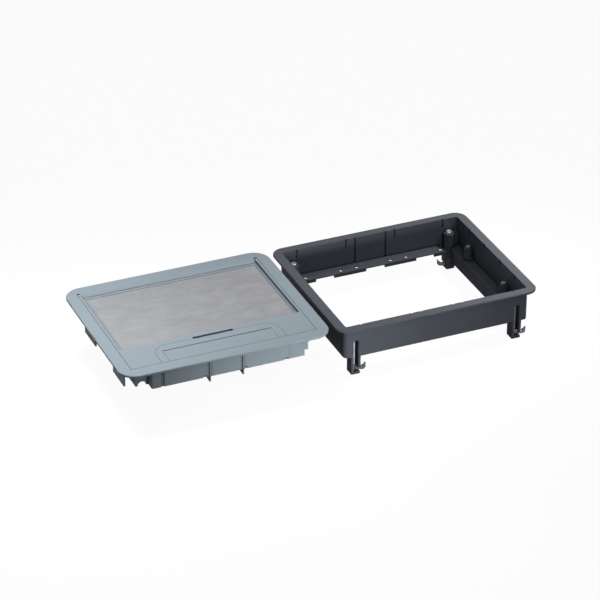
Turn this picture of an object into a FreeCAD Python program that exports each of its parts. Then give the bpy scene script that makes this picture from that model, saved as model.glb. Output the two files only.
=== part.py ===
import FreeCAD, Part
import os
from FreeCAD import Vector

# Floor socket box shown as its two units side by side, in millimetres, +Z up.
# The origin is the centre of the floor cut-out of the black mounting frame, on
# the floor surface: the underside of its flange is z = 0. The grey cover unit
# stands to its left at the height it has when it lies on the mounting frame.

# Flanges of both units
FLANGE_LENGTH = 300.0
FLANGE_WIDTH = 250.0
FLANGE_THICKNESS = 3.0
FLANGE_EDGE_BEVEL = 0.8
FRAME_CORNER_RADIUS = 18.0
TRIM_CORNER_RADIUS = 25.0
UNIT_GAP = 9.0

# Mounting frame: wall and opening, depths below its own top face
BORDER_SIDE = 13.65
BORDER_FRONT = 13.55
WALL = 2.2
WALL_DEPTH = 48.8
WALL_CORNER_RADIUS = 7.0
OPENING_CORNER_RADIUS = 3.0

# Ledges that carry the socket plates
LEDGE_DEPTH = 41.0
LEDGE_THICKNESS = 1.5
LEDGE_REACH = 20.0
LEDGE_END_INSET = 27.35
LEDGE_LIP_DROP = 4.0
LEDGE_LIP_THICKNESS = 2.0
LEDGE_LIP_SPANS = ((14.5, 64.0), (92.0, 107.0))
PLATE_HOLE_RADIUS = 2.4
PLATE_HOLE_INSET = 12.5
PLATE_HOLE_OFFSETS = (26.5, 51.0, 105.0)

# Side ledges with a deep inner skirt
SIDE_LEDGE_REACH = 16.0
SIDE_LEDGE_END_INSET = 21.45
SIDE_SKIRT_DEPTH = 62.0

# Guide grooves and notches in the inner faces
GROOVE_WIDTH = 2.4
GROOVE_DEPTH = 1.2
GUIDE_OFFSET = 23.8
NOTCH_OFFSETS = (37.8, 113.7)
NOTCH_DROP = 13.0
SIDE_NOTCH_PLACES = (70.0, 22.0, -26.5, -73.0)
SIDE_NOTCH_DROP = 8.0

# Corner towers, claw screws and legs
CLAW_INSET_SIDE = 14.85
CLAW_INSET_FRONT = 6.45
TOWER_RADIUS = 7.8
TOWER_BORE_RADIUS = 4.9
TOWER_TOP_DEPTH = 20.0
TOWER_BOTTOM_DEPTH = 45.0
TOWER_ROOF = 3.0
TOWER_WEB = 3.0
LEG_WIDTH = 13.7
LEG_DEPTH = 76.0
LEG_WALL = 2.2
FOOT_THICKNESS = 3.5
FOOT_RELIEF = 1.0
SLOT_WIDTH = 7.0
SLOT_TOP_DEPTH = 24.0
CLAW_WAY_HEIGHT = 5.0
SCREW_RADIUS = 2.5
SCREW_CLEARANCE = 0.1
SCREW_HEAD_RADIUS = 4.6
SCREW_HEAD_HEIGHT = 3.5
SCREW_END_COVER = 0.8
DRIVE_WIDTH = 1.0
DRIVE_DEPTH = 1.6
DRIVE_REACH = 2.7

# Claw
CLAW_REACH = 16.5
CLAW_WIDTH = 6.0
CLAW_THICKNESS = 3.0
CLAW_HEIGHT = 9.5
CLAW_BOSS_RADIUS = 4.2
CLAW_BOSS_HEIGHT = 8.0
CLAW_FLOOR_GAP = 0.5
CLAW_TOOTH_ROOT = 4.2
CLAW_TIP_WIDTH = 2.4
CLAW_BEND = 2.4
CLAW_SIDE_OPENING = 2.5
CLAW_REST_TURN = 16.0

# Cover screw posts on the side walls
POST_RADIUS = 5.4
POST_REACH = 7.0
POST_TOP_DEPTH = 22.0
POST_PLACES = (58.0, -55.0)
POST_SCREW_RADIUS = 1.9
POST_SCREW_LENGTH = 12.0
POST_SCREW_HEAD_RADIUS = 3.5
POST_SCREW_HEAD_HEIGHT = 2.8

# Cover unit: lid and body, depths below the lid's top face
LID_BORDER_SIDE = 17.7
LID_BORDER_FRONT = 19.7
LID_BORDER_BACK = 26.5
LID_HEIGHT = 8.0
SEAM = 0.5
BACK_SEAM = 0.8
FIT_IN_FRAME = 0.95
SKIRT_WALL = 2.3
SKIRT_DEPTH = 34.0
SKIRT_SIDE_INSET = 11.4
SEAT_THICKNESS = 2.0
SEAL_THICKNESS = 1.5
SEAL_WIDTH = 4.5
SOFT_GAP = 0.3
SEAT_FRONT_WIDTH = 5.5
SEAT_BACK_WIDTH = 8.0
LONG_FACE_INSET = 22.2
SHORT_FACE_INSET = 29.4
TOWER_CLEARANCE = 1.0
COLUMN_WIDTH = 13.2
COLUMN_GROOVE_WIDTH = 4.4
COLUMN_ROUND = 3.0
STEP_LENGTH = 23.2
STEP_DEPTH = 0.8
ARCH_RADIUS = 6.0
FIN_THICKNESS = 1.6
FIN_STAND_OUT = 1.8
FIN_TIP_DEPTH = 42.0
FIN_LEAD = 2.0
FIN_REACH = 12.0
FIN_RISE = 1.0
FIN_ROOT = 1.0
FIN_GUSSET = 10.0
WINDOW_PLACES = ((-31.0, 5.0), (28.5, 3.0), (86.0, 6.0))
WINDOW_HEIGHT = 3.5
RELIEF_DEPTH = 1.5
LUG_SPANS = ((30.0, 72.0), (-82.0, -40.0))
LUG_DEPTH = 39.0
LUG_CLEARANCE = 0.35

# Lid recess, steel plate and lid hinge
LID_RIM = 3.3
RECESS_FRONT = 53.7
RECESS_DEPTH = 2.7
PLATE_TOP_DEPTH = 3.0
PLATE_THICKNESS = 1.5
PLATE_GAP = 0.3
PLATE_SIDE_LEDGE = 5.0
PLATE_BACK_LEDGE = 4.5
RAMP_LENGTH = 9.7
PANEL_THICKNESS = 3.0
LID_WALL = 3.0
NOSE_RADIUS = 2.5
HINGE_ARM_REACH = 9.8
ARM_GAP = 0.3
PIN_RADIUS = 1.25
PIN_CLEARANCE = 0.1
PIN_SEAT_CLEARANCE = 0.02
PIN_GRIP = 2.2
PIN_DEPTH_IN_LID = 2.9

# Cable outlet: fixed surround and hinged flap
SURROUND_HALF_LENGTH = 89.3
SURROUND_BACK = 63.0
SURROUND_CORNER_RADIUS = 22.0
SURROUND_GAP = 0.35
SURROUND_FLANGE = 3.0
SURROUND_HEIGHT = 5.5
FLAP_HALF_LENGTH = 78.0
FLAP_BACK = 77.0
FLAP_GAP = 0.3
FLAP_THICKNESS = 3.0
FLAP_PIN_RADIUS = 1.0
FLAP_PIN_LENGTH = 4.0
FINGER_SLOT_HALF_LENGTH = 29.0
FINGER_SLOT_BACK = 59.5
FINGER_SLOT_FRONT = 64.2
FOAM_THICKNESS = 6.0
FOAM_WIDTH = 8.0
FOAM_INSET = 4.0
FOAM_SETBACK = 1.5

# Worked out from the sizes above
FRAME_TOP = FLANGE_THICKNESS
COVER_TOP = FRAME_TOP + FLANGE_THICKNESS
COVER_CENTRE = Vector(-FLANGE_LENGTH - UNIT_GAP, 0, 0)
INNER_X = FLANGE_LENGTH / 2 - BORDER_SIDE
INNER_Y = FLANGE_WIDTH / 2 - BORDER_FRONT
OUTER_X = INNER_X + WALL
OUTER_Y = INNER_Y + WALL
LEDGE_END = INNER_X - LEDGE_END_INSET
SIDE_LEDGE_END = INNER_Y - SIDE_LEDGE_END_INSET
CLAW_AXIS_X = INNER_X - CLAW_INSET_SIDE
CLAW_AXIS_Y = INNER_Y - CLAW_INSET_FRONT
BODY_X = INNER_X - FIT_IN_FRAME
BODY_Y = INNER_Y - FIT_IN_FRAME
SKIRT_X = BODY_X - SKIRT_SIDE_INSET
LONG_FACE_END = BODY_X - LONG_FACE_INSET
SHORT_FACE_END = BODY_X - SHORT_FACE_INSET
COLUMN_GROOVE_OUTER = SHORT_FACE_END - COLUMN_WIDTH
STEP_START = LONG_FACE_END - STEP_LENGTH
LID_END = FLANGE_LENGTH / 2 - LID_BORDER_SIDE
LID_FRONT = FLANGE_WIDTH / 2 - LID_BORDER_FRONT
LID_BACK = FLANGE_WIDTH / 2 - LID_BORDER_BACK
CORNER_Y = CLAW_AXIS_Y - TOWER_RADIUS - TOWER_CLEARANCE
ARM_END = LID_BACK + HINGE_ARM_REACH
HINGE_Y = ARM_END - NOSE_RADIUS
HINGE_Z = COVER_TOP - NOSE_RADIUS
FLAP_NOSE_RADIUS = FLAP_THICKNESS / 2
FLAP_AXIS_Y = -FLAP_BACK - FLAP_GAP - FLAP_NOSE_RADIUS
FLAP_AXIS_Z = COVER_TOP - FLAP_NOSE_RADIUS
POCKET_X = LID_END + SEAM
RECESS_X = LID_END - LID_RIM
PLATE_POCKET_X = RECESS_X - PLATE_SIDE_LEDGE
PLATE_POCKET_BACK = LID_BACK - PLATE_BACK_LEDGE
RAMP_FOOT = LID_BACK + BACK_SEAM
RAMP_TOP = RAMP_FOOT + RAMP_LENGTH
RAMP_RADIUS = (RAMP_LENGTH ** 2 + RECESS_DEPTH ** 2) / (2 * RECESS_DEPTH)
SLOT_BOTTOM_DEPTH = LEG_DEPTH - FOOT_THICKNESS
CLAW_SIDE_STRIP_DEPTH = SLOT_BOTTOM_DEPTH - CLAW_WAY_HEIGHT
SEAT_DEPTH = LID_HEIGHT + SOFT_GAP + SEAL_THICKNESS
BORE_RADIUS = SCREW_RADIUS + SCREW_CLEARANCE
BIG = 400.0

CORNERS = {
    "front_left": (-1, -1),
    "front_right": (1, -1),
    "back_left": (-1, 1),
    "back_right": (1, 1),
}


def block(x0, x1, y0, y1, z0, z1):
    """Box between opposite corners given in any order."""
    low = Vector(min(x0, x1), min(y0, y1), min(z0, z1))
    return Part.makeBox(abs(x1 - x0), abs(y1 - y0), abs(z1 - z0), low)


def rod(radius, x, y, z0, z1):
    """Upright cylinder between two heights."""
    return Part.makeCylinder(radius, abs(z1 - z0), Vector(x, y, min(z0, z1)))


def rod_along_x(radius, x0, x1, y, z):
    """Cylinder lying along X."""
    return Part.makeCylinder(radius, abs(x1 - x0), Vector(min(x0, x1), y, z), Vector(1, 0, 0))


def outline(points):
    """Face inside a closed outline of (x, y) points at z = 0."""
    corners = [Vector(x, y, 0) for x, y in points]
    return Part.Face(Part.makePolygon(corners + corners[:1]))


def raised(face, z0, z1):
    """Face at z = 0 drawn up into a solid between two heights."""
    solid = face.extrude(Vector(0, 0, abs(z1 - z0)))
    solid.translate(Vector(0, 0, min(z0, z1)))
    return solid


def rounded_block(length, width, radius, z0, z1):
    """Block about the origin with round upright corners."""
    solid = block(-length / 2, length / 2, -width / 2, width / 2, z0, z1)
    upright = [e for e in solid.Edges if e.BoundBox.ZLength > abs(z1 - z0) / 2]
    return solid.makeFillet(radius, upright)


def ease_top(solid, width):
    """Bevel the edges round the top face of a solid."""
    top = solid.BoundBox.ZMax
    edges = [e for e in solid.Edges if e.BoundBox.ZMin > top - 1e-6]
    return solid.makeChamfer(width, edges)


def fused(solids):
    """One solid made of several that touch."""
    first = solids[0]
    return first.fuse(solids[1:]).removeSplitter()


def half_turned(solid):
    """Copy turned by half a turn about the upright axis at the origin."""
    copy = solid.copy()
    copy.rotate(Vector(0, 0, 0), Vector(0, 0, 1), 180)
    return copy


def at_corner(solid, corner):
    """Copy of a part made about the claw axis, with its outside towards -Y."""
    side, row = CORNERS[corner]
    placed = half_turned(solid) if row > 0 else solid.copy()
    placed.translate(Vector(side * CLAW_AXIS_X, row * CLAW_AXIS_Y, 0))
    return placed


def both_ways(solid):
    """The solid and its copy on the opposite side of the unit."""
    return [solid, half_turned(solid)]


def flange(corner_radius, top):
    """Flat flange plate with a bevelled top edge and no opening yet."""
    bottom = top - FLANGE_THICKNESS
    plate = rounded_block(FLANGE_LENGTH, FLANGE_WIDTH, corner_radius, bottom, top)
    return ease_top(plate, FLANGE_EDGE_BEVEL)


def frame_walls():
    """Flange and four walls round the opening."""
    bottom = FRAME_TOP - WALL_DEPTH
    walls = rounded_block(2 * OUTER_X, 2 * OUTER_Y, WALL_CORNER_RADIUS, bottom, 0)
    body = flange(FRAME_CORNER_RADIUS, FRAME_TOP).fuse(walls)
    return body.cut(rounded_block(2 * INNER_X, 2 * INNER_Y, OPENING_CORNER_RADIUS,
                                  bottom - 1, FRAME_TOP + 1))


def socket_ledge():
    """Back ledge with its screw holes and the lips under its inner edge."""
    top = FRAME_TOP - LEDGE_DEPTH
    bottom = top - LEDGE_THICKNESS
    inner = INNER_Y - LEDGE_REACH
    ledge = block(-LEDGE_END, LEDGE_END, inner, INNER_Y + WALL / 2, bottom, top)
    for start, end in LEDGE_LIP_SPANS:
        for side in (-1, 1):
            lip = block(side * start, side * end, inner, inner + LEDGE_LIP_THICKNESS,
                        bottom - LEDGE_LIP_DROP, top)
            ledge = ledge.fuse(lip)
    for offset in PLATE_HOLE_OFFSETS:
        for side in (-1, 1):
            hole = rod(PLATE_HOLE_RADIUS, side * offset, INNER_Y - PLATE_HOLE_INSET, bottom - 1, top + 1)
            ledge = ledge.cut(hole)
    return ledge


def side_ledge():
    """Right ledge with its deep inner skirt."""
    top = FRAME_TOP - LEDGE_DEPTH
    inner = INNER_X - SIDE_LEDGE_REACH
    shelf = block(inner, INNER_X + WALL / 2, -SIDE_LEDGE_END, SIDE_LEDGE_END,
                  top - LEDGE_THICKNESS, top)
    skirt = block(inner, inner + LEDGE_THICKNESS, -SIDE_LEDGE_END, SIDE_LEDGE_END,
                  FRAME_TOP - SIDE_SKIRT_DEPTH, top)
    return shelf.fuse(skirt)


def cover_post(place):
    """Post for a cover screw by the right wall, flat where the cover's lug slides down behind it."""
    x = INNER_X - POST_REACH
    low, high = place - POST_RADIUS, place + POST_RADIUS
    bottom = FRAME_TOP - LEDGE_DEPTH - LEDGE_THICKNESS / 2
    top = FRAME_TOP - POST_TOP_DEPTH
    lug_face = INNER_X - FIT_IN_FRAME - SKIRT_WALL - LUG_CLEARANCE
    lug_end = COVER_TOP - LUG_DEPTH - LUG_CLEARANCE
    lug_space = block(lug_face, INNER_X, low - 1, high + 1, lug_end, top + 1)
    base = block(x, INNER_X + WALL / 2, low, high, bottom, lug_end)
    return rod(POST_RADIUS, x, place, bottom, top).cut(lug_space).fuse(base)


def tower(side):
    """Hollow corner tower about the claw axis, with its web to the side wall."""
    top = FRAME_TOP - TOWER_TOP_DEPTH
    bottom = FRAME_TOP - TOWER_BOTTOM_DEPTH
    to_wall = INNER_X + WALL / 2 - CLAW_AXIS_X
    web = block(0, side * to_wall, -TOWER_WEB / 2, TOWER_WEB / 2, bottom, top)
    return rod(TOWER_RADIUS, 0, 0, bottom, top).fuse(web)


def tower_space():
    """Room inside a tower for the claw, and the bore in its roof."""
    roof = FRAME_TOP - TOWER_TOP_DEPTH - TOWER_ROOF
    bottom = FRAME_TOP - TOWER_BOTTOM_DEPTH
    room = rod(TOWER_BORE_RADIUS, 0, 0, bottom - 1, roof)
    bore = rod(BORE_RADIUS, 0, 0, roof - 1, FRAME_TOP)
    return room.fuse(bore)


def leg():
    """Leg about the claw axis: four plates and a foot, open at one side where the claw parks."""
    half = LEG_WIDTH / 2
    front = CLAW_AXIS_Y - OUTER_Y
    back = half
    top = FRAME_TOP - TOWER_BOTTOM_DEPTH
    bottom = FRAME_TOP - LEG_DEPTH
    plate = block(-half, half, front, front + LEG_WALL, bottom, top)
    side = block(-half, -half + LEG_WALL, front, back, bottom, top)
    claw_side = block(half - LEG_WALL, half, front, back, FRAME_TOP - CLAW_SIDE_STRIP_DEPTH, top)
    back_plate = block(-half, half, back - LEG_WALL, back, bottom, top)
    foot = block(-half, half - FOOT_RELIEF, front, back, bottom, bottom + FOOT_THICKNESS)
    claw_way = block(CLAW_SIDE_OPENING, half + 1, front - 1, front + LEG_WALL + 1,
                     FRAME_TOP - SLOT_BOTTOM_DEPTH, FRAME_TOP - CLAW_SIDE_STRIP_DEPTH)
    foot_edge = block(half - FOOT_RELIEF, half + 1, front - 1, back + 1,
                      bottom - 1, FRAME_TOP - SLOT_BOTTOM_DEPTH)
    seat = rod(BORE_RADIUS, 0, 0, bottom + SCREW_END_COVER, bottom + FOOT_THICKNESS + 1)
    return fused([plate, side, claw_side, back_plate, foot]).cut([claw_way, foot_edge, seat])


def claw_slot():
    """Upright slot that the claw climbs, through the wall and leg."""
    front = CLAW_AXIS_Y - OUTER_Y
    return block(-SLOT_WIDTH / 2, SLOT_WIDTH / 2, front - 1, 0,
                 FRAME_TOP - SLOT_BOTTOM_DEPTH, FRAME_TOP - SLOT_TOP_DEPTH)


def guide_cuts():
    """Guide grooves and short notches in the back and right inner faces."""
    cuts = []
    top = FRAME_TOP + 1
    ledge_top = FRAME_TOP - LEDGE_DEPTH
    drops = {GUIDE_OFFSET: ledge_top}
    for offset in NOTCH_OFFSETS:
        drops[offset] = FRAME_TOP - NOTCH_DROP
    for offset, bottom in drops.items():
        for side in (-1, 1):
            x = side * offset
            cuts.append(block(x - GROOVE_WIDTH / 2, x + GROOVE_WIDTH / 2,
                              INNER_Y - 1, INNER_Y + GROOVE_DEPTH, bottom, top))
    for y in SIDE_NOTCH_PLACES:
        cuts.append(block(INNER_X - 1, INNER_X + GROOVE_DEPTH, y - GROOVE_WIDTH / 2,
                          y + GROOVE_WIDTH / 2, FRAME_TOP - SIDE_NOTCH_DROP, top))
    return cuts


def mounting_frame():
    """Moulded frame that hangs in the floor cut-out by its flange."""
    solids = [frame_walls()]
    solids += both_ways(socket_ledge()) + both_ways(side_ledge())
    for place in POST_PLACES:
        solids += both_ways(cover_post(place))
    cuts = []
    for corner, (side, row) in CORNERS.items():
        solids += [at_corner(tower(-side * row), corner), at_corner(leg(), corner)]
        cuts += [at_corner(tower_space(), corner), at_corner(claw_slot(), corner)]
    for cut in guide_cuts():
        cuts += both_ways(cut)
    for place in POST_PLACES:
        bore = rod(POST_SCREW_RADIUS + SCREW_CLEARANCE, INNER_X - POST_REACH, place,
                   FRAME_TOP - POST_TOP_DEPTH - POST_SCREW_LENGTH - 1, FRAME_TOP)
        cuts += both_ways(bore)
    return fused(solids).cut(cuts)


def cross_drive(top):
    """Cross recess in the top of a screw head."""
    floor = top - DRIVE_DEPTH
    half = DRIVE_WIDTH / 2
    first = block(-DRIVE_REACH, DRIVE_REACH, -half, half, floor, top + 1)
    second = block(-half, half, -DRIVE_REACH, DRIVE_REACH, floor, top + 1)
    return first.fuse(second)


def screw(shank_radius, head_radius, head_height, seat, end):
    """Upright screw whose head stands on the height of its seat."""
    top = seat + head_height
    solid = rod(head_radius, 0, 0, seat, top).fuse(rod(shank_radius, 0, 0, end, seat))
    return solid.cut(cross_drive(top))


def claw_screw(corner):
    """Long screw from the tower's roof down to the foot of the leg."""
    end = FRAME_TOP - LEG_DEPTH + SCREW_END_COVER + SOFT_GAP
    solid = screw(SCREW_RADIUS, SCREW_HEAD_RADIUS, SCREW_HEAD_HEIGHT,
                  FRAME_TOP - TOWER_TOP_DEPTH, end)
    return at_corner(solid, corner)


def claw(corner):
    """Steel claw parked a little out of the wall's line, with its tooth turned up."""
    bottom = FRAME_TOP - SLOT_BOTTOM_DEPTH + CLAW_FLOOR_GAP
    inner = CLAW_REACH - CLAW_TOOTH_ROOT
    profile = outline([(0, 0), (CLAW_REACH - CLAW_BEND, 0), (CLAW_REACH, CLAW_BEND),
                       (CLAW_REACH, CLAW_HEIGHT), (inner + CLAW_BEND / 2, CLAW_THICKNESS + CLAW_BEND),
                       (inner - CLAW_BEND / 2, CLAW_THICKNESS), (0, CLAW_THICKNESS)])
    arm = profile.extrude(Vector(0, 0, CLAW_WIDTH))
    arm.rotate(Vector(0, 0, 0), Vector(1, 0, 0), 90)
    arm.translate(Vector(0, CLAW_WIDTH / 2, bottom))
    for side in (-1, 1):
        taper = outline([(inner, side * CLAW_WIDTH / 2), (CLAW_REACH + 1, side * CLAW_TIP_WIDTH / 2),
                         (CLAW_REACH + 1, side * CLAW_WIDTH), (inner, side * CLAW_WIDTH)])
        arm = arm.cut(raised(taper, bottom - 1, bottom + CLAW_HEIGHT + 1))
    boss = rod(CLAW_BOSS_RADIUS, 0, 0, bottom, bottom + CLAW_BOSS_HEIGHT)
    bore = rod(BORE_RADIUS, 0, 0, bottom - 1, bottom + CLAW_BOSS_HEIGHT + 1)
    solid = fused([boss, arm]).cut(bore)
    solid.rotate(Vector(0, 0, 0), Vector(0, 0, 1), -CLAW_REST_TURN)
    return at_corner(solid, corner)


def post_screw(side, place):
    """Cover screw standing in a half-round post."""
    top = FRAME_TOP - POST_TOP_DEPTH
    solid = screw(POST_SCREW_RADIUS, POST_SCREW_HEAD_RADIUS, POST_SCREW_HEAD_HEIGHT,
                  top, top - POST_SCREW_LENGTH)
    solid.translate(Vector(side * (INNER_X - POST_REACH), place * side, 0))
    return solid


def body_outline(inset):
    """Plan of the cover's skirt, moved in by a wall: corners step in for the towers."""
    long_end = LONG_FACE_END - inset
    short_end = SHORT_FACE_END - inset
    x = SKIRT_X - inset
    y = BODY_Y - inset
    step = CORNER_Y - inset
    front = [(-short_end, -y), (long_end, -y), (long_end, -step), (x, -step)]
    back = [(-px, -py) for px, py in front]
    right = [(x, step), (short_end, step)]
    left = [(-px, -py) for px, py in right]
    return outline(front + right + back + left)


def skirt():
    """Walls below the lid seat, with column, grooves, arches and windows."""
    top = COVER_TOP - FLANGE_THICKNESS
    bottom = COVER_TOP - SKIRT_DEPTH
    walls = raised(body_outline(0), bottom, top)
    edges = [e for e in walls.Edges if e.BoundBox.ZLength > 1
             and abs(abs(e.BoundBox.YMin) - BODY_Y) < 1e-6 and e.BoundBox.YLength < 1e-6
             and abs(abs(e.BoundBox.XMin) - SHORT_FACE_END) < 1e-6]
    walls = walls.makeFillet(COLUMN_ROUND, edges)
    walls = walls.cut(raised(body_outline(SKIRT_WALL), bottom - 1, top + 1))
    seat_bottom = COVER_TOP - SEAT_DEPTH - SEAT_THICKNESS
    cuts = []
    groove = block(-COLUMN_GROOVE_OUTER, -COLUMN_GROOVE_OUTER + COLUMN_GROOVE_WIDTH,
                   -BODY_Y - 1, -BODY_Y + RELIEF_DEPTH, bottom - 1, seat_bottom)
    step = block(STEP_START, LONG_FACE_END + 1, -BODY_Y - 1, -BODY_Y + STEP_DEPTH,
                 bottom - 1, seat_bottom)
    cuts += both_ways(groove) + both_ways(step)
    for place, width in WINDOW_PLACES:
        window = block(place - width / 2, place + width / 2, -BODY_Y - 1,
                       -BODY_Y + RELIEF_DEPTH, bottom - 1, bottom + WINDOW_HEIGHT)
        cuts += both_ways(window)
    arch = Part.makeCylinder(ARCH_RADIUS, SKIRT_WALL + 2,
                             Vector(-(SKIRT_X + SHORT_FACE_END) / 2, -CORNER_Y - 1, bottom),
                             Vector(0, 1, 0))
    cuts += both_ways(arch)
    return walls.cut(cuts)


def fin(side):
    """Guide fin through the front face, with its deep blade inside the skirt."""
    face = -BODY_Y
    out = face - FIN_STAND_OUT
    inside = face + SKIRT_WALL
    skirt_bottom = COVER_TOP - SKIRT_DEPTH
    tip = COVER_TOP - FIN_TIP_DEPTH
    top = COVER_TOP - FLANGE_THICKNESS
    profile = outline([(out, top), (out, tip + FIN_LEAD), (face, tip),
                       (face + FIN_REACH, tip + FIN_RISE), (face + FIN_REACH, skirt_bottom),
                       (inside, skirt_bottom + FIN_GUSSET),
                       (face + FIN_ROOT, skirt_bottom + FIN_GUSSET), (face + FIN_ROOT, top)])
    blade = profile.extrude(Vector(0, 0, FIN_THICKNESS))
    blade.rotate(Vector(0, 0, 0), Vector(1, 0, 0), 90)
    blade.rotate(Vector(0, 0, 0), Vector(0, 0, 1), 90)
    blade.translate(Vector(side * GUIDE_OFFSET - FIN_THICKNESS / 2, 0, 0))
    return blade


def lug(low, high):
    """Lug on the left side that slides down behind a screw post of the frame."""
    return block(-BODY_X, -BODY_X + SKIRT_WALL, low, high, COVER_TOP - LUG_DEPTH,
                 COVER_TOP - FLANGE_THICKNESS)


def lid_seat():
    """Collar round the lid with the ledge under its rim."""
    top = COVER_TOP - FLANGE_THICKNESS
    ledge_top = COVER_TOP - SEAT_DEPTH
    bottom = ledge_top - SEAT_THICKNESS
    solid = rounded_block(2 * BODY_X, 2 * BODY_Y, OPENING_CORNER_RADIUS, bottom, top)
    inner_x = SKIRT_X - SKIRT_WALL
    inner_y = CORNER_Y - SKIRT_WALL
    end = SHORT_FACE_END - SKIRT_WALL
    well = block(-inner_x, inner_x, -inner_y, inner_y, bottom - 1, ledge_top + 1)
    front_well = block(-end, end, -LID_FRONT + SEAT_FRONT_WIDTH, LID_BACK - SEAT_BACK_WIDTH,
                       bottom - 1, ledge_top + 1)
    outlet = block(-FLAP_HALF_LENGTH, FLAP_HALF_LENGTH, -BODY_Y + SKIRT_WALL, 0,
                   bottom - 1, ledge_top + 1)
    return solid.cut([well, front_well, outlet])


def lid_pocket():
    """Space that the lid and its two hinge arms fill, with their seams."""
    solids = [block(-POCKET_X, POCKET_X, -LID_FRONT - SEAM, LID_BACK + BACK_SEAM,
                    COVER_TOP - SEAT_DEPTH, COVER_TOP + 1)]
    for side in (-1, 1):
        solids.append(block(side * (RECESS_X - ARM_GAP), side * POCKET_X, LID_BACK, ARM_END + BACK_SEAM,
                            HINGE_Z - NOSE_RADIUS - SEAM, COVER_TOP + 1))
    return fused(solids)


def covering_ramp():
    """Space over the convex ramp that leads from the lid's back edge up to the flange."""
    space = block(-RECESS_X, RECESS_X, LID_BACK, RAMP_TOP, COVER_TOP - RECESS_DEPTH, COVER_TOP + 1)
    return space.cut(rod_along_x(RAMP_RADIUS, -LID_END, LID_END, RAMP_TOP, COVER_TOP - RAMP_RADIUS))


def hinge_pin_bores(radius, inner, outer):
    """Bores on the lid hinge axis at both ends, between two distances from the middle."""
    return [rod_along_x(radius, side * inner, side * outer, HINGE_Y, HINGE_Z) for side in (-1, 1)]


def trim_frame():
    """Grey frame with the flange, lid seat, skirt, fins and lugs."""
    solids = [flange(TRIM_CORNER_RADIUS, COVER_TOP), lid_seat(), skirt()]
    for side in (-1, 1):
        solids += both_ways(fin(side))
    for low, high in LUG_SPANS:
        solids += both_ways(lug(low, high))
    body = fused(solids).cut([lid_pocket(), covering_ramp()])
    body = body.cut(hinge_pin_bores(PIN_RADIUS + PIN_SEAT_CLEARANCE, POCKET_X - 1, POCKET_X + PIN_GRIP))
    body.translate(COVER_CENTRE)
    return body


def hinge_pin(side):
    """Short steel pin between the trim frame and the lid."""
    inner = LID_END - PIN_DEPTH_IN_LID + SOFT_GAP
    pin = rod_along_x(PIN_RADIUS, side * inner, side * (POCKET_X + PIN_GRIP), HINGE_Y, HINGE_Z)
    pin.translate(COVER_CENTRE)
    return pin


def lid_seal():
    """Foam strip on the seat along both sides and the two front ends."""
    bottom = COVER_TOP - SEAT_DEPTH
    top = bottom + SEAL_THICKNESS
    outer_x = LID_END - SOFT_GAP
    front = -LID_FRONT + SOFT_GAP
    back = LID_BACK - SEAL_WIDTH
    strip = block(-outer_x, outer_x, front, back, bottom, top)
    room = block(-outer_x + SEAL_WIDTH, outer_x - SEAL_WIDTH, front + SEAL_WIDTH, back + 1,
                 bottom - 1, top + 1)
    outlet = block(-SURROUND_HALF_LENGTH - SURROUND_FLANGE, SURROUND_HALF_LENGTH + SURROUND_FLANGE,
                   front - 1, 0, bottom - 1, top + 1)
    pair = strip.cut([room, outlet])
    pair.translate(COVER_CENTRE)
    return pair


def outlet_block(half_length, back, radius, z0, z1):
    """Block over the outlet's plan, past the lid's front, with round back corners."""
    solid = block(-half_length, half_length, -LID_FRONT - 1, -back, z0, z1)
    corners = [e for e in solid.Edges if e.BoundBox.ZLength > abs(z1 - z0) / 2
               and e.BoundBox.YMin > -back - 1e-6]
    return solid.makeFillet(radius, corners)


def finger_slot():
    """Slot behind the outlet for the fingers that lift the lid."""
    return block(-FINGER_SLOT_HALF_LENGTH, FINGER_SLOT_HALF_LENGTH, -FINGER_SLOT_FRONT,
                 -FINGER_SLOT_BACK, COVER_TOP - LID_HEIGHT - 1, COVER_TOP + 1)


def hinge_arm(side):
    """Arm at the lid's back corner with a round end about the hinge axis."""
    arm = block(side * RECESS_X, side * LID_END, LID_BACK - 1, HINGE_Y, HINGE_Z - NOSE_RADIUS, COVER_TOP)
    return arm.fuse(rod_along_x(NOSE_RADIUS, side * RECESS_X, side * LID_END, HINGE_Y, HINGE_Z))


def lid_tray():
    """Lid moulding with hinge arms, the floor covering recess and the outlet notch."""
    bottom = COVER_TOP - LID_HEIGHT
    slab = block(-LID_END, LID_END, -LID_FRONT, LID_BACK, bottom, COVER_TOP)
    solid = fused([slab, hinge_arm(-1), hinge_arm(1)])
    recess = block(-RECESS_X, RECESS_X, -RECESS_FRONT, ARM_END + 1,
                   COVER_TOP - RECESS_DEPTH, COVER_TOP + 1)
    plate_pocket = block(-PLATE_POCKET_X, PLATE_POCKET_X, -RECESS_FRONT, PLATE_POCKET_BACK,
                         COVER_TOP - PLATE_TOP_DEPTH - PLATE_THICKNESS, COVER_TOP)
    hollow = block(-LID_END + LID_WALL, LID_END - LID_WALL, -LID_FRONT + LID_WALL,
                   -RECESS_FRONT - LID_WALL, bottom - 1, COVER_TOP - PANEL_THICKNESS)
    notch = outlet_block(SURROUND_HALF_LENGTH, SURROUND_BACK, SURROUND_CORNER_RADIUS,
                         bottom - 1, COVER_TOP + 1)
    base_notch = outlet_block(SURROUND_HALF_LENGTH + SURROUND_FLANGE,
                              SURROUND_BACK - SURROUND_FLANGE,
                              SURROUND_CORNER_RADIUS + SURROUND_FLANGE,
                              bottom - 1, COVER_TOP - PANEL_THICKNESS)
    bores = hinge_pin_bores(PIN_RADIUS + PIN_CLEARANCE, LID_END - PIN_DEPTH_IN_LID, LID_END + 1)
    solid = solid.cut([recess, plate_pocket, hollow, notch, base_notch, finger_slot()] + bores)
    solid.translate(COVER_CENTRE)
    return solid


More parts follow.
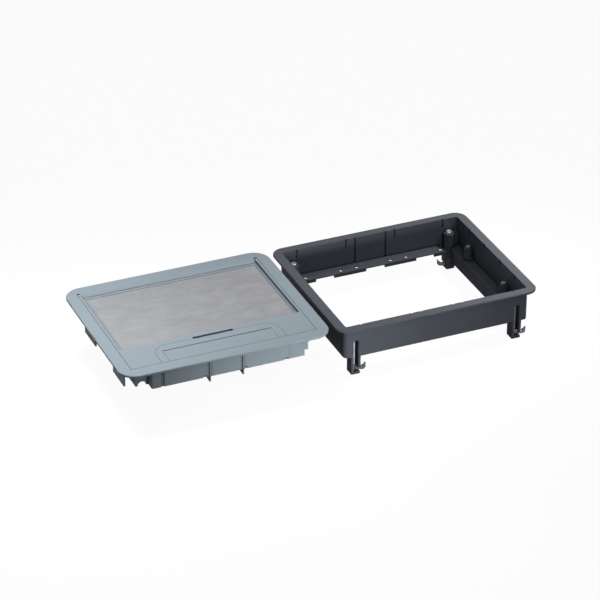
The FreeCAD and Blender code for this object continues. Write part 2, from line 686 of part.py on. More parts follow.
def steel_plate():
    """Steel plate that stiffens the lid, in the recess for the floor covering."""
    half = PLATE_POCKET_X - PLATE_GAP
    top = COVER_TOP - PLATE_TOP_DEPTH
    plate = block(-half, half, -RECESS_FRONT + PLATE_GAP, PLATE_POCKET_BACK - PLATE_GAP,
                  top - PLATE_THICKNESS, top)
    plate.translate(COVER_CENTRE)
    return plate


def outlet_surround():
    """U-shaped surround of the cable flap, flanged under the lid panel at its sides."""
    panel_bottom = COVER_TOP - PANEL_THICKNESS
    bottom = COVER_TOP - SURROUND_HEIGHT
    half = SURROUND_HALF_LENGTH - SURROUND_GAP
    back = SURROUND_BACK + SURROUND_GAP
    radius = SURROUND_CORNER_RADIUS - SURROUND_GAP
    face = outlet_block(half, back, radius, panel_bottom, COVER_TOP)
    base = outlet_block(half + SURROUND_FLANGE, back, radius + SURROUND_FLANGE, bottom, panel_bottom)
    body = face.fuse(base)
    opening = block(-FLAP_HALF_LENGTH, FLAP_HALF_LENGTH, -LID_FRONT - 2, -FLAP_BACK,
                    bottom - 1, COVER_TOP + 1)
    front_end = block(-BIG, BIG, -LID_FRONT - 2, -LID_FRONT, bottom - 1, COVER_TOP + 1)
    reach = FLAP_HALF_LENGTH - FLAP_GAP + FLAP_PIN_LENGTH + SOFT_GAP
    bore = rod_along_x(FLAP_PIN_RADIUS + PIN_CLEARANCE, -reach, reach, FLAP_AXIS_Y, FLAP_AXIS_Z)
    body = body.cut([opening, front_end, finger_slot(), bore])
    body.translate(COVER_CENTRE)
    return body


def cable_flap():
    """Flap over the cable outlet, with a round back edge and two trunnions."""
    half = FLAP_HALF_LENGTH - FLAP_GAP
    panel = block(-half, half, -LID_FRONT, FLAP_AXIS_Y, COVER_TOP - FLAP_THICKNESS, COVER_TOP)
    barrel = rod_along_x(FLAP_NOSE_RADIUS, -half, half, FLAP_AXIS_Y, FLAP_AXIS_Z)
    reach = half + FLAP_PIN_LENGTH
    pins = rod_along_x(FLAP_PIN_RADIUS, -reach, reach, FLAP_AXIS_Y, FLAP_AXIS_Z)
    solid = fused([panel, barrel, pins])
    solid.translate(COVER_CENTRE)
    return solid


def flap_foam():
    """Foam strip under the flap's front edge that closes round the cables."""
    half = FLAP_HALF_LENGTH - FOAM_INSET
    top = COVER_TOP - FLAP_THICKNESS
    front = -LID_FRONT + FOAM_SETBACK
    foam = block(-half, half, front, front + FOAM_WIDTH, top - FOAM_THICKNESS, top)
    foam.translate(COVER_CENTRE)
    return foam


def export(shape, name):
    """Write one sub-part, whole and solid."""
    if not shape.isValid():
        raise ValueError(name + " is not a valid shape")
    shape.exportStep("parts/" + name + ".step")


def main():
    """Write every sub-part of both units."""
    os.makedirs("parts", exist_ok=True)
    export(mounting_frame(), "mounting_frame")
    for corner in CORNERS:
        export(claw_screw(corner), "claw_screw_" + corner)
        export(claw(corner), "claw_" + corner)
    for side_name, side in (("left", -1), ("right", 1)):
        for row_name, place in zip(("a", "b"), POST_PLACES):
            export(post_screw(side, place), "cover_screw_" + side_name + "_" + row_name)
        export(hinge_pin(side), "lid_hinge_pin_" + side_name)
    export(trim_frame(), "trim_frame")
    export(lid_seal(), "lid_seal")
    export(lid_tray(), "lid_tray")
    export(steel_plate(), "steel_plate")
    export(outlet_surround(), "outlet_surround")
    export(cable_flap(), "cable_flap")
    export(flap_foam(), "flap_foam")


main()
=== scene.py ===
"""Floor socket box: a grey cover unit with hinged lid beside its black mounting frame."""

import logging
import math
from dataclasses import dataclass, field
from enum import Enum

import bmesh
import bpy
import numpy as np
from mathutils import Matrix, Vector


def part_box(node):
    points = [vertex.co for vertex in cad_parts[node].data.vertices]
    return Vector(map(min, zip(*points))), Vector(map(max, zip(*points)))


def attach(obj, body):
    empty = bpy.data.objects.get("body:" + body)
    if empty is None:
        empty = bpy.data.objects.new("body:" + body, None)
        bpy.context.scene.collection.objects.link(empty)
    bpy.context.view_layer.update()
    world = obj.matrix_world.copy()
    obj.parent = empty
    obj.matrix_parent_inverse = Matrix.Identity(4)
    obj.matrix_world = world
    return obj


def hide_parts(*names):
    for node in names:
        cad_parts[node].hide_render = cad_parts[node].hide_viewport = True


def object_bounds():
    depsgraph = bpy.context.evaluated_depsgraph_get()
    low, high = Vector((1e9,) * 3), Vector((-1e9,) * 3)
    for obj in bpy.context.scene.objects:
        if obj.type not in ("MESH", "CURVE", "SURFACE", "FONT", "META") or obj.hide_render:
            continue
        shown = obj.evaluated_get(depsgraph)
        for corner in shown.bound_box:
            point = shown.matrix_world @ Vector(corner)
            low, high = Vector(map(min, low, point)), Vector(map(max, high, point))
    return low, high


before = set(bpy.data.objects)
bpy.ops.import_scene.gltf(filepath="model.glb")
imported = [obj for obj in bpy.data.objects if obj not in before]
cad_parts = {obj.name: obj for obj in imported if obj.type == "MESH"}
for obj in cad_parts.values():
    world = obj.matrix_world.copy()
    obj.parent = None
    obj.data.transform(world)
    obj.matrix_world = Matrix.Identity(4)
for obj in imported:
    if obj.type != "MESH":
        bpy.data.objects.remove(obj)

LOG = logging.getLogger("floor_box")
CAD_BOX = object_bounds()
MM = 0.001
NOISE_LOW, NOISE_HIGH = 0.3, 0.7
MERGE_DISTANCE = 1e-6
SHORTEST_EDGE = 1e-7
SCREW_SMOOTH, LEDGE_SMOOTH, FOAM_SMOOTH = math.radians(32), math.radians(30), math.radians(50)
END_STATIONS = 8
STATION_DIGITS = 4
Colour = tuple[float, float, float]
Place = tuple[float, float, float]


class Corner(Enum):
    """Corner of the mounting frame: its name and its row along Y."""

    FRONT_LEFT = ("front_left", -1)
    FRONT_RIGHT = ("front_right", -1)
    BACK_LEFT = ("back_left", 1)
    BACK_RIGHT = ("back_right", 1)


class Post(Enum):
    """Cover screw post of the mounting frame."""

    LEFT_A = "cover_screw_left_a"
    LEFT_B = "cover_screw_left_b"
    RIGHT_A = "cover_screw_right_a"
    RIGHT_B = "cover_screw_right_b"


class NodeBoard:
    """Small helper that adds and links the nodes of one material or world."""

    def __init__(self, tree: bpy.types.NodeTree) -> None:
        """Empty the tree and keep it.

        Args:
            tree: node tree of a material or world.
        """
        self.tree = tree
        tree.nodes.clear()

    def add(self, kind: str, **values: object) -> bpy.types.Node:
        """Add a node and set its properties or sockets.

        Args:
            kind: Blender's type name of the node.
            values: properties, or sockets by name with _ for a space.

        Returns:
            The new node.
        """
        node = self.tree.nodes.new(kind)
        for key, value in values.items():
            socket = node.inputs.get(key.replace("_", " "))
            if socket is not None:
                socket.default_value = value
            else:
                setattr(node, key, value)
        return node

    def join(self, source: bpy.types.Node, output: str | int, target: bpy.types.Node,
             name: str | int) -> None:
        """Link the output of one node to an input of another.

        Args:
            source: node that gives the value.
            output: name or number of its output.
            target: node that takes the value.
            name: name or number of its input.
        """
        self.tree.links.new(source.outputs[output], target.inputs[name])


def new_material(name: str) -> tuple[bpy.types.Material, NodeBoard]:
    """Make an empty node material.

    Args:
        name: name of the material.

    Returns:
        The material and its node board.
    """
    material = bpy.data.materials.new(name)
    material.use_nodes = True
    return material, NodeBoard(material.node_tree)


def blend_colours(board: NodeBoard, source: bpy.types.Node, low: Colour, high: Colour, start: float,
                  end: float, output: str = "Fac") -> bpy.types.Node:
    """Turn the value of a pattern into a colour between two tones.

    Args:
        board: node board of the material.
        source: node that gives the value.
        low: colour where the value is low.
        high: colour where the value is high.
        start: value that still gives the low colour.
        end: value from which the high colour shows.
        output: name of the output that is read.

    Returns:
        The colour ramp node, with a Color output.
    """
    ramp = board.add("ShaderNodeValToRGB")
    first, last = ramp.color_ramp.elements
    first.position, last.position = start, end
    first.color, last.color = (*low, 1.0), (*high, 1.0)
    board.join(source, output, ramp, "Fac")
    return ramp


def vary_sheen(board: NodeBoard, noise: bpy.types.Node, shader: bpy.types.Node, roughness: float,
               swing: float) -> None:
    """Let a shader's roughness follow a noise.

    Args:
        board: node board of the material.
        noise: noise node whose Fac is read.
        shader: shader that gets the roughness.
        roughness: mean roughness.
        swing: how far it rises where the noise is high; below zero it falls there.
    """
    sheen = board.add("ShaderNodeMapRange", From_Min=NOISE_LOW, From_Max=NOISE_HIGH,
                      To_Min=roughness - swing, To_Max=roughness + swing)
    board.join(noise, "Fac", sheen, "Value")
    board.join(sheen, "Result", shader, "Roughness")


def show_surface(board: NodeBoard, shader: bpy.types.Node, tone: bpy.types.Node, output: str,
                 bump: bpy.types.Node) -> None:
    """Give a shader its colour and bump, and make it the material's surface.

    Args:
        board: node board of the material.
        shader: shader of the material.
        tone: node that gives the colour.
        output: name of that node's output.
        bump: node that gives the normal.
    """
    board.join(tone, output, shader, "Base Color")
    board.join(bump, "Normal", shader, "Normal")
    board.join(shader, "BSDF", board.add("ShaderNodeOutputMaterial"), "Surface")


def scaled(colour: Colour, factor: float) -> Colour:
    """Make a colour lighter or darker.

    Args:
        colour: colour to change.
        factor: what each part of it is multiplied by.

    Returns:
        The changed colour.
    """
    red, green, blue = colour
    return (red * factor, green * factor, blue * factor)


@dataclass(frozen=True)
class MouldedPlastic:
    """Injection moulded plastic with a fine eroded grain, soft edges and painted shade in its crevices.

    Attributes:
        name: name of the material.
        colour: mean colour.
        roughness: mean roughness.
        gloss: strength of the plain reflection.
        spread: share by which the clouds lighten and darken the colour.
        grain: scale of the grain's noise.
        grain_height: height of the grain in metres.
        edge: radius in metres that sharp edges are shaded with.
        painted_crevice_shade: reach in metres within which another surface paints shade into this one's
            colour.
        painted_shade_power: how steeply that painted shade darkens the colour.
        swing: how far the roughness varies.
    """

    name: str
    colour: Colour
    roughness: float
    gloss: float
    spread: float = 0.05
    grain: float = 1400.0
    grain_height: float = 0.02 * MM
    edge: float = 0.35 * MM
    painted_crevice_shade: float = 3.0 * MM
    painted_shade_power: float = 2.0
    swing: float = 0.04

    def material(self) -> bpy.types.Material:
        """Build the material: cloudy tone with painted shade in crevices, grain in the bump, rounded
        edges.

        Returns:
            The plastic material.
        """
        material, board = new_material(self.name)
        place = board.add("ShaderNodeTexCoord")
        cloud = board.add("ShaderNodeTexNoise", Scale=9.0, Detail=4.0, Roughness=0.6)
        fine = board.add("ShaderNodeTexNoise", Scale=self.grain, Detail=2.0, Roughness=0.6)
        tone = blend_colours(board, cloud, scaled(self.colour, 1 - self.spread),
                             scaled(self.colour, 1 + self.spread), NOISE_LOW, NOISE_HIGH)
        # painted shade: ambient occlusion darkens the colour in crevices, seams, grooves and inner
        # corners
        painted_crevice_shade = board.add("ShaderNodeAmbientOcclusion", samples=8, Distance=self.painted_crevice_shade)
        depth = board.add("ShaderNodeMath", operation="POWER")
        depth.inputs[1].default_value = self.painted_shade_power
        tone_with_painted_shade = board.add("ShaderNodeVectorMath", operation="SCALE")
        edge = board.add("ShaderNodeBevel", samples=6, Radius=self.edge)
        bump = board.add("ShaderNodeBump", Strength=0.5, Distance=self.grain_height)
        shader = board.add("ShaderNodeBsdfPrincipled", Specular_IOR_Level=self.gloss, IOR=1.5)
        board.join(place, "Object", cloud, "Vector")
        board.join(place, "Object", fine, "Vector")
        board.join(fine, "Fac", bump, "Height")
        board.join(edge, "Normal", bump, "Normal")
        board.join(painted_crevice_shade, "AO", depth, 0)
        board.join(tone, "Color", tone_with_painted_shade, "Vector")
        board.join(depth, "Value", tone_with_painted_shade, "Scale")
        vary_sheen(board, cloud, shader, self.roughness, self.swing)
        show_surface(board, shader, tone_with_painted_shade, "Vector", bump)
        return material


@dataclass(frozen=True)
class MottledSheet:
    """Rolled steel sheet with cloudy streaks along X.

    Attributes:
        name: name of the material.
        dark: tone where the pattern is low.
        light: tone where the pattern is high.
        roughness: mean roughness.
        swing: how far the roughness varies, falling where the clouds are light.
        metal: share of the metal's own reflection.
        line_share: weight of the rolling lines in the pattern.
        tone_span: values of the pattern between which the tones blend.
    """

    name: str
    dark: Colour
    light: Colour
    roughness: float = 0.46
    swing: float = -0.07
    metal: float = 0.42
    line_share: float = 0.22
    tone_span: tuple[float, float] = (0.42, 0.82)

    def material(self) -> bpy.types.Material:
        """Build the material: a stretched noise gives the clouds, a second the rolling lines.

        Returns:
            The sheet material.
        """
        material, board = new_material(self.name)
        place = board.add("ShaderNodeTexCoord")
        stretch = board.add("ShaderNodeMapping", Scale=(1.0, 1.7, 1.0))
        lines_map = board.add("ShaderNodeMapping", Scale=(1.0, 40.0, 1.0))
        cloud = board.add("ShaderNodeTexNoise", Scale=24.0, Detail=10.0, Roughness=0.72, Distortion=0.25)
        lines = board.add("ShaderNodeTexNoise", Scale=24.0, Detail=3.0, Roughness=0.5)
        mix = board.add("ShaderNodeMath", operation="MULTIPLY_ADD")
        mix.inputs[1].default_value = self.line_share
        tone = blend_colours(board, mix, self.dark, self.light, *self.tone_span, "Value")
        bump = board.add("ShaderNodeBump", Strength=0.35, Distance=0.03 * MM)
        shader = board.add("ShaderNodeBsdfPrincipled", Metallic=self.metal)
        board.join(place, "Object", stretch, "Vector")
        board.join(place, "Object", lines_map, "Vector")
        board.join(stretch, "Vector", cloud, "Vector")
        board.join(lines_map, "Vector", lines, "Vector")
        board.join(lines, "Fac", mix, 0)
        board.join(cloud, "Fac", mix, 2)
        board.join(lines, "Fac", bump, "Height")
        vary_sheen(board, cloud, shader, self.roughness, self.swing)
        show_surface(board, shader, tone, "Color", bump)
        return material


@dataclass(frozen=True)
class PlatedSteel:
    """Steel with a thin coat: zinc on the screws and pins, dark on the claws.

    Attributes:
        name: name of the material.
        dark: tone where the clouds are low.
        light: tone where the clouds are high.
        roughness: mean roughness.
        swing: how far the roughness varies.
        edge: radius in metres that sharp edges are shaded with.
        tone_span: values of the clouds between which the tones blend.
    """

    name: str
    dark: Colour
    light: Colour
    roughness: float
    swing: float = 0.08
    edge: float = 0.25 * MM
    tone_span: tuple[float, float] = (0.35, 0.65)

    def material(self) -> bpy.types.Material:
        """Build the material: small clouds in tone and roughness, soft edges.

        Returns:
            The steel material.
        """
        material, board = new_material(self.name)
        place = board.add("ShaderNodeTexCoord")
        cloud = board.add("ShaderNodeTexNoise", Scale=260.0, Detail=5.0, Roughness=0.6)
        tone = blend_colours(board, cloud, self.dark, self.light, *self.tone_span)
        edge = board.add("ShaderNodeBevel", samples=6, Radius=self.edge)
        bump = board.add("ShaderNodeBump", Strength=0.3, Distance=0.02 * MM)
        shader = board.add("ShaderNodeBsdfPrincipled", Metallic=1.0)
        board.join(place, "Object", cloud, "Vector")
        board.join(cloud, "Fac", bump, "Height")
        board.join(edge, "Normal", bump, "Normal")
        vary_sheen(board, cloud, shader, self.roughness, self.swing)
        show_surface(board, shader, tone, "Color", bump)
        return material


@dataclass(frozen=True)
class CellFoam:
    """Soft black cellular foam.

    Attributes:
        name: name of the material.
        colour: mean colour.
        cell: scale of the cells.
        painted_hollow_shade: factor on the colour inside a cell, painted shade in its hollow.
        painted_ridge_light: factor on the colour between cells, painted light on the ridges.
        tone_span: distances from a cell's middle between which the tones blend.
    """

    name: str
    colour: Colour
    cell: float = 1100.0
    painted_hollow_shade: float = 0.5
    painted_ridge_light: float = 1.3
    tone_span: tuple[float, float] = (0.05, 0.6)

    def material(self) -> bpy.types.Material:
        """Build the material: open cells from a Voronoi pattern in the bump, and in the tone as painted
        shade in their hollows and painted light on their ridges.

        Returns:
            The foam material.
        """
        material, board = new_material(self.name)
        place = board.add("ShaderNodeTexCoord")
        cells = board.add("ShaderNodeTexVoronoi", Scale=self.cell)
        # painted shade and light: darker in each cell's hollow, lighter on the ridges between cells
        tone = blend_colours(board, cells, scaled(self.colour, self.painted_hollow_shade),
                             scaled(self.colour, self.painted_ridge_light), *self.tone_span, "Distance")
        bump = board.add("ShaderNodeBump", Strength=0.8, Distance=0.25 * MM)
        shader = board.add("ShaderNodeBsdfPrincipled", Roughness=0.92, Specular_IOR_Level=0.15)
        board.join(place, "Object", cells, "Vector")
        board.join(cells, "Distance", bump, "Height")
        show_surface(board, shader, tone, "Color", bump)
        return material


@dataclass(frozen=True)
class Finishes:
    """All finishes of the box, made once and shared."""

    black_plastic: bpy.types.Material
    grey_plastic: bpy.types.Material
    sheet_steel: bpy.types.Material
    zinc_steel: bpy.types.Material
    zinc_in_painted_shade: bpy.types.Material
    dark_steel: bpy.types.Material
    foam: bpy.types.Material


def make_finishes() -> Finishes:
    """Mix every finish of the box.

    Returns:
        The shared materials.
    """
    return Finishes(
        black_plastic=MouldedPlastic("black_plastic", (0.094, 0.103, 0.123), 0.46, 0.08).material(),
        grey_plastic=MouldedPlastic("grey_plastic", (0.30, 0.362, 0.408), 0.50, 0.26, spread=0.02,
                                    painted_crevice_shade=5 * MM).material(),
        sheet_steel=MottledSheet("sheet_steel", (0.240, 0.242, 0.254), (0.345, 0.348, 0.363)).material(),
        zinc_steel=PlatedSteel("zinc_steel", (0.48, 0.52, 0.58), (0.66, 0.71, 0.78), 0.42).material(),
        # painted shade: a darker copy of the zinc finish, for the cover screws deep in the frame
        zinc_in_painted_shade=PlatedSteel("zinc_in_painted_shade", (0.17, 0.18, 0.19), (0.27, 0.28, 0.30), 0.46).material(),
        dark_steel=PlatedSteel("dark_steel", (0.13, 0.13, 0.13), (0.33, 0.32, 0.31), 0.38).material(),
        foam=CellFoam("foam", (0.035, 0.035, 0.038)).material(),
    )


def dress_node(node: str, material: bpy.types.Material) -> None:
    """Give a CAD node its finish on every material slot.

    Args:
        node: name of the CAD node.
        material: its finish.
    """
    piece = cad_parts[node]
    if not piece.material_slots:
        piece.data.materials.append(material)
    for place in piece.material_slots:
        place.material = material
    LOG.info("%s finished as %s", node, material.name)


def grid_faces(rows: int, columns: int, offset: int) -> np.ndarray:
    """Quads of a grid whose columns close into a ring.

    Args:
        rows: points along the grid.
        columns: points round the ring.
        offset: index of the grid's first point.

    Returns:
        Array of four point indices per face.
    """
    row = np.arange(rows - 1)[:, None] * columns
    column = np.arange(columns)[None, :]
    after = (column + 1) % columns
    quads = np.stack([row + column, row + after, row + columns + after, row + columns + column], axis=-1)
    return quads.reshape(-1, 4) + offset


def piece_from_grids(name: str, grids: list[np.ndarray], material: bpy.types.Material,
                     smooth_angle: float) -> bpy.types.Object:
    """Make one object from ring grids, with poles merged and faces turned out.

    Args:
        name: name of the piece.
        grids: arrays of rows x columns x 3 points in metres, poles as rows of equal points.
        material: its finish.
        smooth_angle: edges flatter than this are shaded smooth, in radians.

    Returns:
        The new object, linked to the scene.
    """
    points = np.concatenate([grid.reshape(-1, 3) for grid in grids])
    faces = []
    offset = 0
    for grid in grids:
        rows, columns = grid.shape[:2]
        faces.append(grid_faces(rows, columns, offset))
        offset += rows * columns
    mesh = bpy.data.meshes.new(name)
    mesh.from_pydata(points.tolist(), [], np.concatenate(faces).tolist())
    work = bmesh.new()
    work.from_mesh(mesh)
    bmesh.ops.remove_doubles(work, verts=work.verts, dist=MERGE_DISTANCE)
    bmesh.ops.dissolve_degenerate(work, edges=work.edges, dist=SHORTEST_EDGE)
    bmesh.ops.recalc_face_normals(work, faces=work.faces)
    work.to_mesh(mesh)
    work.free()
    mesh.polygons.foreach_set("use_smooth", np.ones(len(mesh.polygons), dtype=bool))
    mesh.set_sharp_from_angle(angle=smooth_angle)
    mesh.materials.append(material)
    piece = bpy.data.objects.new(name, mesh)
    bpy.context.scene.collection.objects.link(piece)
    return piece


@dataclass(frozen=True)
class ThreadedScrew:
    """Pan head screw with a cross recess and a rolled thread, in millimetres.

    Attributes:
        radius: outer radius of the thread.
        head_radius: radius of the head.
        head_height: height of the head.
        pitch: rise of the thread in one turn.
        thread_depth: depth of the thread.
        recess_reach: reach of the cross's arms from the axis.
        recess_half_width: half the width of an arm.
        recess_depth: depth of the cross.
        head_round: radius of the head's upper edge.
        head_lift: bevel of the head's lower edge.
        shank_overlap: length of the shank inside the head.
        tip_taper: share of the radius that is lost at the tip.
        tip_pitches: pitches over which the thread fades in.
        recess_step: width of the recess's sloping sides.
        recess_rim: share of the depth where the floor of an arm starts to fall.
        recess_fall: reaches of an arm at which the floor starts to fall.
        shank_columns: points round the shank.
        rows_per_pitch: rings of points in one pitch.
        head_columns: points round the head.
        rim_rows: rings of points on the upper edge.
        top_rows: rings of points from that edge to the axis.
    """

    radius: float
    head_radius: float
    head_height: float
    pitch: float
    thread_depth: float
    recess_reach: float
    recess_half_width: float
    recess_depth: float
    head_round: float = 0.7
    head_lift: float = 0.15
    shank_overlap: float = 0.5
    tip_taper: float = 0.28
    tip_pitches: float = 1.5
    recess_step: float = 0.18
    recess_rim: float = 0.35
    recess_fall: float = 1.35
    shank_columns: int = 40
    rows_per_pitch: int = 4
    head_columns: int = 96
    rim_rows: int = 7
    top_rows: int = 40

    def shank(self, end: float, seat: float) -> np.ndarray:
        """Thread as rings up the shank.

        The radius is the core plus the thread's depth times a triangle wave of the height in
        pitches less the angle in turns, fading in over the tip and out below the head.

        Args:
            end: height of the tip.
            seat: height under the head.

        Returns:
            Grid of rows x columns x 3 points in millimetres about the axis.
        """
        columns = self.shank_columns
        rows = int((seat - end) / self.pitch * self.rows_per_pitch) + 1
        height = np.linspace(end, seat, rows)[:, None]
        angle = np.linspace(0, 2 * math.pi, columns, endpoint=False)[None, :]
        phase = (height / self.pitch - angle / (2 * math.pi)) % 1.0
        wave = 1 - np.abs(2 * phase - 1)
        fade_in = np.clip((height - end) / (self.tip_pitches * self.pitch), 0, 1)
        fade_out = np.clip((seat - height) / self.pitch, 0, 1)
        core = self.radius - self.thread_depth
        ring = core + self.thread_depth * wave * (fade_in * fade_out)
        taper = 1 - self.tip_taper + self.tip_taper * np.clip((height - end) / self.pitch, 0, 1)
        ring = ring * taper
        up = np.broadcast_to(height, ring.shape)
        body = np.stack([ring * np.cos(angle), ring * np.sin(angle), up], axis=-1)
        low = np.zeros((1, columns, 3))
        low[..., 2] = end
        high = np.zeros((1, columns, 3))
        high[..., 2] = seat
        return np.concatenate([low, body, high])

    def head(self, seat: float) -> np.ndarray:
        """Head as rings from under its middle, round its edge, to the bottom of the recess.

        The top falls away to the edge along a quarter circle. Inside the cross, whose arms
        narrow downwards, the surface drops by the recess depth over a steep smooth step.

        Args:
            seat: height of the head's underside.

        Returns:
            Grid of rows x columns x 3 points in millimetres about the axis.
        """
        top = seat + self.head_height
        turn = np.linspace(0, math.pi / 2, self.rim_rows)
        rim_radius = self.head_radius - self.head_round * (1 - np.cos(turn))
        rim_height = top - self.head_round * (1 - np.sin(turn))
        flat = np.linspace(self.head_radius - self.head_round, 0, self.top_rows)[1:]
        under_radius = [0, self.head_radius * 0.5, self.head_radius - self.head_lift, self.head_radius]
        under_height = [seat, seat, seat, seat + self.head_lift]
        radius = np.concatenate([under_radius, rim_radius, flat])
        height = np.concatenate([under_height, rim_height, np.full(flat.shape, top)])
        angle = np.linspace(0, 2 * math.pi, self.head_columns, endpoint=False)[None, :]
        x = radius[:, None] * np.cos(angle)
        y = radius[:, None] * np.sin(angle)
        z = np.repeat(height[:, None], self.head_columns, axis=1)
        first = np.maximum(np.abs(x) - self.recess_reach, np.abs(y) - self.recess_half_width)
        second = np.maximum(np.abs(y) - self.recess_reach, np.abs(x) - self.recess_half_width)
        inside = np.clip(-np.minimum(first, second) / self.recess_step + 0.5, 0, 1)
        slope = np.clip(1 - radius[:, None] / (self.recess_reach * self.recess_fall), 0, 1)
        drop = self.recess_depth * inside * (self.recess_rim + (1 - self.recess_rim) * slope)
        drop[:len(under_radius) + self.rim_rows] = 0
        return np.stack([x, y, z - drop], axis=-1)

    def make(self, name: str, middle: tuple[float, float], end: float, seat: float,
             material: bpy.types.Material, turn: float) -> bpy.types.Object:
        """Make one screw at its place.

        Args:
            name: name of the piece.
            middle: X and Y of the axis in millimetres.
            end: height of the tip in millimetres.
            seat: height under the head in millimetres.
            material: its finish.
            turn: angle that the recess is turned by, in radians.

        Returns:
            The screw object.
        """
        cosine, sine = math.cos(turn), math.sin(turn)
        spin = np.array([[cosine, sine, 0], [-sine, cosine, 0], [0, 0, 1]])
        shift = np.array([*middle, 0])
        both = (self.shank(end, seat + self.shank_overlap), self.head(seat))
        grids = [(grid @ spin + shift) * MM for grid in both]
        return piece_from_grids(name, grids, material, SCREW_SMOOTH)


def node_span(node: str) -> tuple[np.ndarray, np.ndarray]:
    """Measure the box of a CAD node.

    Args:
        node: name of the CAD node.

    Returns:
        Its lowest and highest corner in millimetres.
    """
    low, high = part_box(node)
    return np.array(low) / MM, np.array(high) / MM


@dataclass
class MountingFrameUnit:
    """Black frame with its claw drives and cover screws, in millimetres.

    Attributes:
        finishes: shared materials.
        claw_screw: sizes of the claw screws.
        cover_screw: sizes of the cover screws.
        ledge_span: X of both sides of a ledge corner.
        ledge_end: distance from the middle in Y at which the frame's own ledge ends.
        ledge_top: height of the ledge.
        ledge_thickness: thickness of the ledge.
        ledge_columns: stations across a ledge corner.
        tower_radius: radius at which a ledge corner meets its tower.
        claw_recess: turn of the first claw screw's cross, and the step to the next, in radians.
        cover_recess: the same two angles for the cover screws.
    """

    finishes: Finishes
    claw_screw: ThreadedScrew = field(default_factory=lambda: ThreadedScrew(
        2.5, 4.6, 3.5, 0.8, 0.42, 2.7, 0.55, 1.7))
    cover_screw: ThreadedScrew = field(default_factory=lambda: ThreadedScrew(
        1.9, 3.5, 2.8, 0.7, 0.36, 2.2, 0.45, 1.4))
    ledge_span: tuple[float, float] = (120.35, 136.85)
    ledge_end: float = 90.0
    ledge_top: float = -38.0
    ledge_thickness: float = 1.5
    ledge_columns: int = 40
    tower_radius: float = 6.4
    claw_recess: tuple[float, float] = (0.5, 0.9)
    cover_recess: tuple[float, float] = (0.3, 0.7)

    def detailed_screw(self, node: str, body: str, kind: ThreadedScrew, turn: float,
                       coat: bpy.types.Material) -> None:
        """Replace a plain CAD screw by a threaded one in the same place.

        Args:
            node: name of the CAD screw.
            body: body that it rides on.
            kind: sizes of the screw.
            turn: angle of its recess in radians.
            coat: its finish.
        """
        low, high = node_span(node)
        middle = tuple((low + high)[:2] / 2)
        piece = kind.make("threaded_" + node, middle, low[2], high[2] - kind.head_height, coat, turn)
        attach(piece, body)
        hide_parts(node)
        LOG.info("%s made with its thread and cross recess", piece.name)

    def ledge_corner(self, corner: Corner) -> None:
        """Close the right ledge round a corner tower, as far as the tower's web.

        Across X the far edge follows the tower. Its Y is the axis's Y, less the square root of
        the radius squared less the squared distance in X from the axis. Beside the tower it is
        the axis's Y itself. Both are counted away from the middle of the frame.

        Args:
            corner: right corner of the frame.
        """
        word, row = corner.value
        low, high = node_span("claw_screw_" + word)
        axis_x, axis_y = (low + high)[:2] / 2
        x = np.linspace(*self.ledge_span, self.ledge_columns)
        rise = np.sqrt(np.clip(self.tower_radius ** 2 - (x - axis_x) ** 2, 0, None))
        far = abs(axis_y) - rise
        near = np.full(x.shape, self.ledge_end)
        y = row * np.stack([near, far, far, near], axis=1)
        top, bottom = self.ledge_top, self.ledge_top - self.ledge_thickness
        z = np.broadcast_to([top, top, bottom, bottom], y.shape)
        body = np.stack([np.broadcast_to(x[:, None], y.shape), y, z], axis=-1)
        first, last = (np.repeat(body[end].mean(0)[None, None], y.shape[1], axis=1) for end in (0, -1))
        piece = piece_from_grids("ledge_corner_" + word, [np.concatenate([first, body, last]) * MM],
                                 self.finishes.black_plastic, LEDGE_SMOOTH)
        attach(piece, "units")
        LOG.info("%s closes the ledge at its tower", piece.name)

    def build(self) -> None:
        """Dress the frame and claws, close the right ledge and make all eight screws."""
        dress_node("mounting_frame", self.finishes.black_plastic)
        self.ledge_corner(Corner.FRONT_RIGHT)
        self.ledge_corner(Corner.BACK_RIGHT)
        start, step = self.claw_recess
        for number, corner in enumerate(Corner):
            word, _ = corner.value
            dress_node("claw_" + word, self.finishes.dark_steel)
            self.detailed_screw("claw_screw_" + word, "screw_" + word, self.claw_screw,
                                start + number * step, self.finishes.zinc_steel)
        # the cover screws take the darker zinc copy, painted shade for their place deep in the frame
        start, step = self.cover_recess
        for number, post in enumerate(Post):
            self.detailed_screw(post.value, "units", self.cover_screw, start + number * step,
                                self.finishes.zinc_in_painted_shade)


